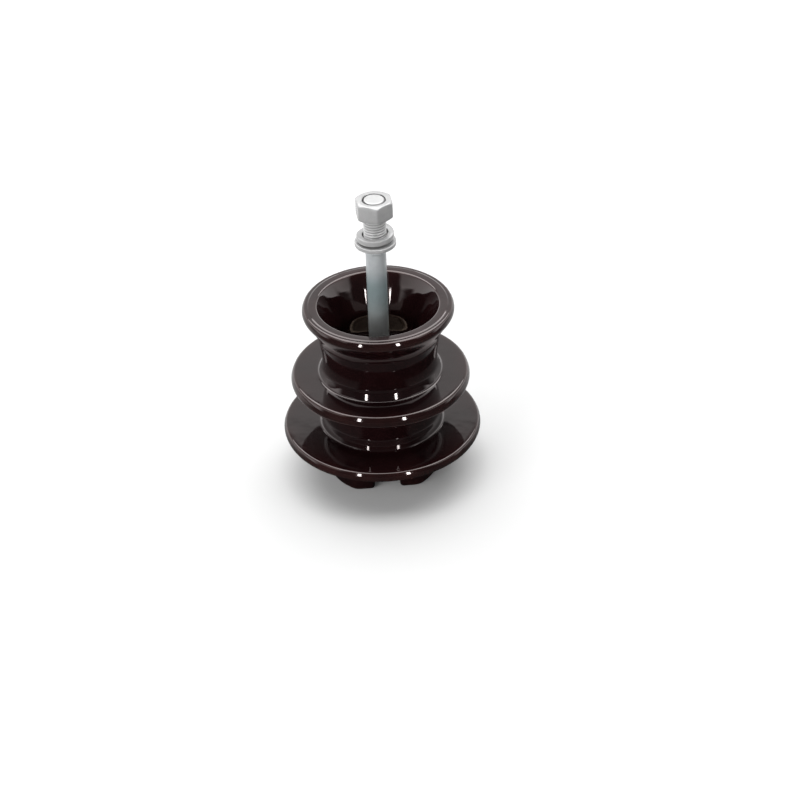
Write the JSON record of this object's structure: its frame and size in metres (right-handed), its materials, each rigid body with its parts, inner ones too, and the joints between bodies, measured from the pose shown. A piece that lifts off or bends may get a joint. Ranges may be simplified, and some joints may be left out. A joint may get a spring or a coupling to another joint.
{
  "type": "porcelain pin insulator",
  "caption": "Brown glazed porcelain pin insulator with stacked sheds and an open cup, a cemented galvanised steel pin, washers and a hex nut.",
  "frame": {"origin": "centre of the plane of the crown's two flat lands, which the insulator stands on here", "axes": "+Z along the pin towards its free threaded end, +Y along the conductor groove across the crown; in service the part hangs the other way up, with -Z to the sky"},
  "size_m": [0.1778, 0.1778, 0.276],
  "materials": {
    "brown_glaze": "gloss",
    "cement": "rough",
    "cushion_felt": "matte",
    "galvanised_pin": "hot-dip zinc",
    "zinc_fasteners": "hot-dip zinc"
  },
  "bodies": {
    "insulator": {"porcelain_body": "brown_glaze", "cushion_disc": "cushion_felt", "pin_cement": "cement", "steel_pin": "galvanised_pin"},
    "washer": {"flat_washer": "zinc_fasteners"},
    "spring_ring": {"spring_washer": "zinc_fasteners"},
    "nut": {"hex_nut": "zinc_fasteners"}
  },
  "joints": [
    {"name": "washer_slide", "type": "slide", "parent": "insulator", "child": "washer", "axis": [0, 0, 1], "range_m": [0, 0.002]},
    {"name": "spring_slide", "type": "slide", "parent": "washer", "child": "spring_ring", "axis": [0, 0, 1], "range_m": [0, 0.002]},
    {"name": "nut_travel", "type": "slide", "parent": "insulator", "child": "nut", "axis": [0, 0, 1], "range_m": [-0.01, 0.06]}
  ]
}
